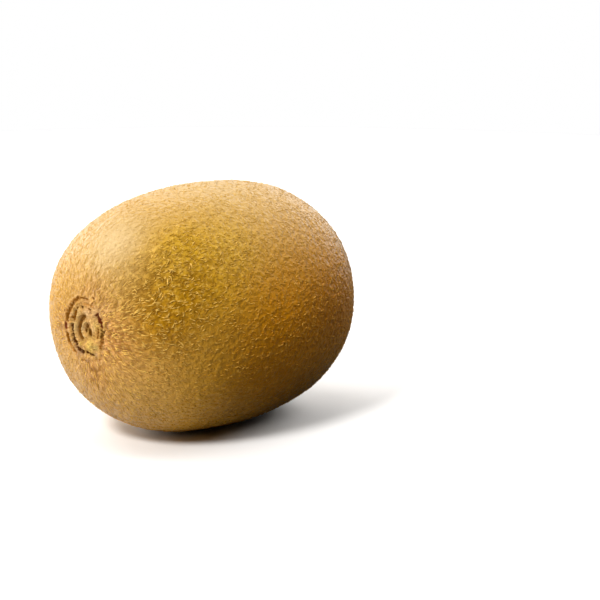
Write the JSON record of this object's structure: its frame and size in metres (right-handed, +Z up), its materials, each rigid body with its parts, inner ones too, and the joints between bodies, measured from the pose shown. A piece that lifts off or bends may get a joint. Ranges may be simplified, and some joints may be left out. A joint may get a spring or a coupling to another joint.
{
  "type": "golden kiwi fruit",
  "caption": "Whole golden kiwi fruit lying on its side: a blunt barrel with fine short fuzz, a round corky stem scar at one end and a small dried blossom tip at the other.",
  "frame": {"origin": "the point on the surface that it lies on, under the middle of the fruit's box", "axes": "+X along the fruit's long axis from the stem scar to the blossom end, +Y across it, +Z up"},
  "size_m": [0.0658, 0.0532, 0.0527],
  "materials": {
    "skin": "matt golden brown skin with short fine fuzz"
  },
  "bodies": {
    "root": {"kiwi_fruit": "skin"}
  },
  "joints": []
}
